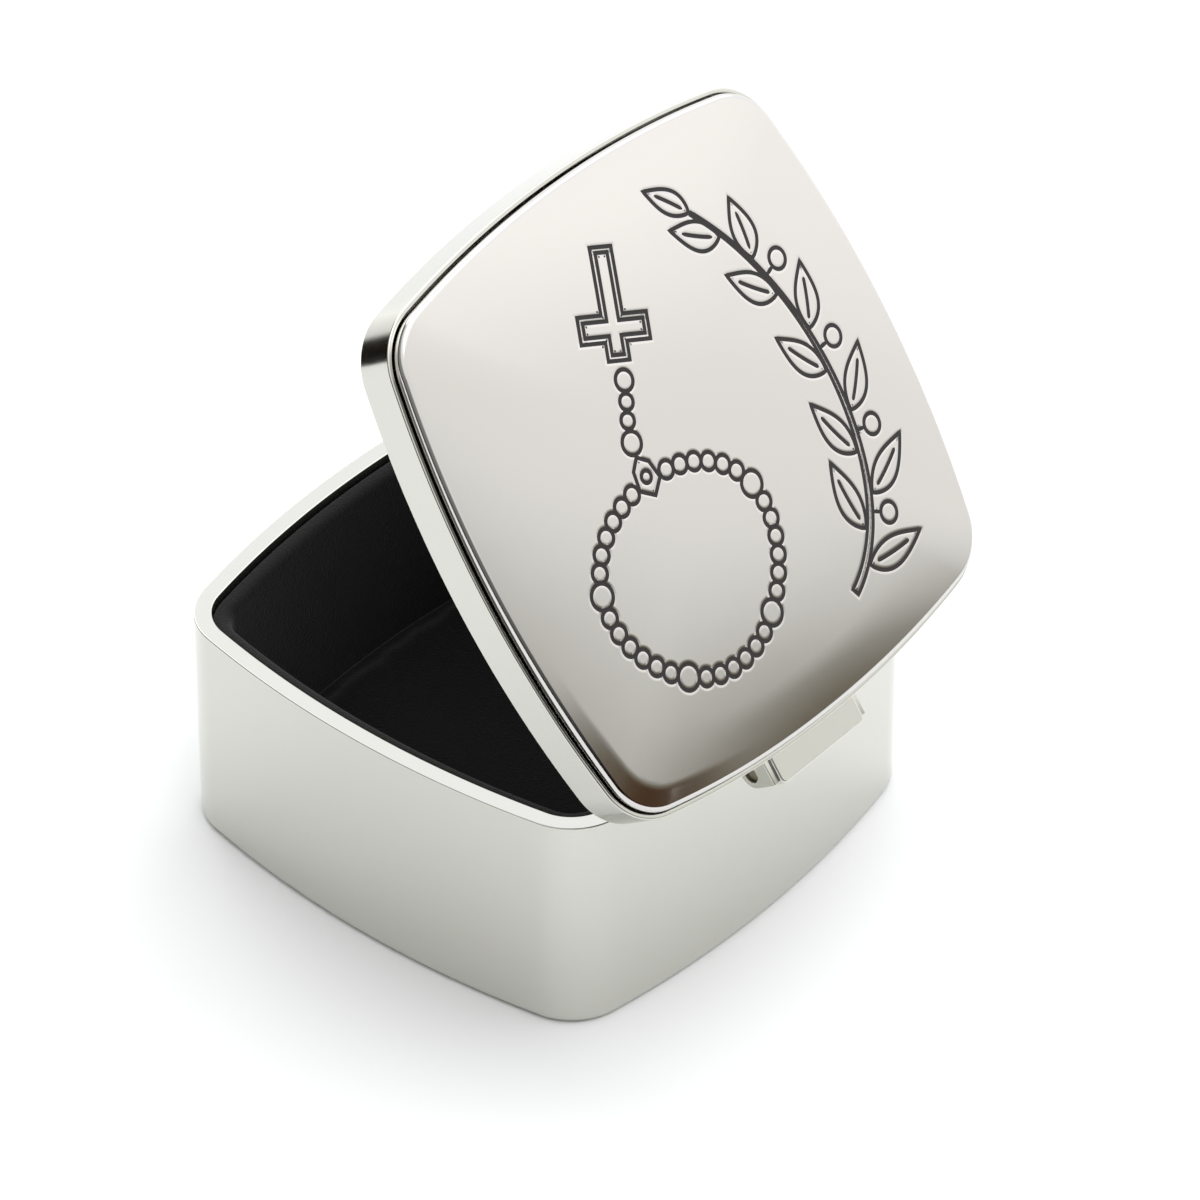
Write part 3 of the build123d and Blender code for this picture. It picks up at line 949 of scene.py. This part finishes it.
def brightness(x, y, z, stops):
    """Light by direction: stops are (value of x X + y Y + z Z, linear red, green, blue)."""
    value = node(world, "ShaderNodeVectorMath", {"operation": "DOT_PRODUCT"}, _0=direction,
                 _1=(x, y, z)).outputs["Value"]
    low, high = stops[0][0], stops[-1][0]
    share = node(world, "ShaderNodeMapRange", Value=value, From_Min=low, From_Max=high)
    ramp = node(world, "ShaderNodeValToRGB", Fac=share.outputs["Result"])
    while len(ramp.color_ramp.elements) < len(stops):
        ramp.color_ramp.elements.new(0.5)
    for element, (at, *shade) in zip(ramp.color_ramp.elements, stops):
        element.position = (at - low) / (high - low)
        element.color = (*shade, 1)
    return ramp.outputs["Color"]


room = brightness(-1, 0, 1, [
    (-0.3, 0.004, 0.003, 0.002), (0.1, 0.010, 0.007, 0.004), (0.33, 0.030, 0.013, 0.006),
    (0.46, 0.052, 0.029, 0.015), (0.60, 0.12, 0.105, 0.08), (0.70, 0.22, 0.213, 0.19),
    (0.74, 0.34, 0.335, 0.31), (0.757, 0.40, 0.40, 0.375), (0.787, 0.51, 0.51, 0.495),
    (0.825, 0.62, 0.62, 0.605), (0.85, 0.655, 0.65, 0.635), (0.90, 0.675, 0.665, 0.655),
    (0.95, 0.77, 0.76, 0.75), (1.0, 0.85, 0.835, 0.82), (1.12, 0.78, 0.783, 0.81),
    (1.3, 0.78, 0.783, 0.81), (1.5, 1.9, 1.9, 1.89)])
for lamp in (
        # A white ceiling over the back half of the table.
        brightness(-0.16, 0.22, 1, [
            (0.51, 0, 0, 0), (0.56, 0.36, 0.36, 0.35), (0.59, 0.42, 0.42, 0.41),
            (0.63, 0.60, 0.60, 0.59), (0.88, 0.68, 0.68, 0.675), (1.0, 1.5, 1.5, 1.5),
            (1.2, 1.8, 1.8, 1.8)]),
        # A dim side wall, +X.
        brightness(0.35, 0, 1, [(0.25, 0, 0, 0), (0.4, 0.08, 0.08, 0.075),
                                (0.6, 0.15, 0.15, 0.145), (1.1, 0.26, 0.26, 0.26)]),
        # A low white screen beyond the front -X corner.
        brightness(-1, -1, -1.2, [(0.88, 0, 0, 0), (0.98, 0.6, 0.6, 0.6),
                                  (1.42, 0.8, 0.8, 0.8)]),
        # A soft box in front, left of the axis.
        brightness(-0.3, -0.72, 0.62, [(0.94, 0, 0, 0), (0.965, 1.5, 1.5, 1.5),
                                       (1.0, 1.9, 1.9, 1.9)])):
    both = node(world, "ShaderNodeMix", {"data_type": "RGBA", "blend_type": "LIGHTEN"},
                Factor=1.0, _6=room, _7=lamp)
    both.clamp_result = False
    room = both.outputs[2]
sky = node(world, "ShaderNodeBackground", Color=room, Strength=1.78)
node(world, "ShaderNodeOutputWorld", Surface=sky.outputs["Background"])

bpy.context.scene.view_settings.view_transform = "Standard"

# A long lens 0.8 m away, behind the box and to its right: the azimuth counts from the front, -Y,
# towards +X, and the stand is in millimetres.
camera_data = bpy.data.cameras.new("camera")
camera_data.sensor_width = 36.0
camera_data.lens = 236.45
camera_data.clip_start = 0.01
camera_data.clip_end = 20
camera = bpy.data.objects.new("camera", camera_data)
bpy.context.scene.collection.objects.link(camera)
azimuth, elevation, roll = math.radians(129.9383), math.radians(40.0616), math.radians(0.0365)
back = np.array([math.sin(azimuth) * math.cos(elevation), -math.cos(azimuth) * math.cos(elevation),
                 math.sin(elevation)])
right = np.cross(-back, (0, 0, 1))
right /= np.linalg.norm(right)
up = np.cross(right, -back)
right, up = (math.cos(roll) * right + math.sin(roll) * up,
             math.cos(roll) * up - math.sin(roll) * right)
stand = np.array([452.176, 385.407, 524.317]) * MM
camera.matrix_world = Matrix([[right[k], up[k], back[k], stand[k]] for k in range(3)]
                             + [[0, 0, 0, 1]])
bpy.context.scene.camera = camera
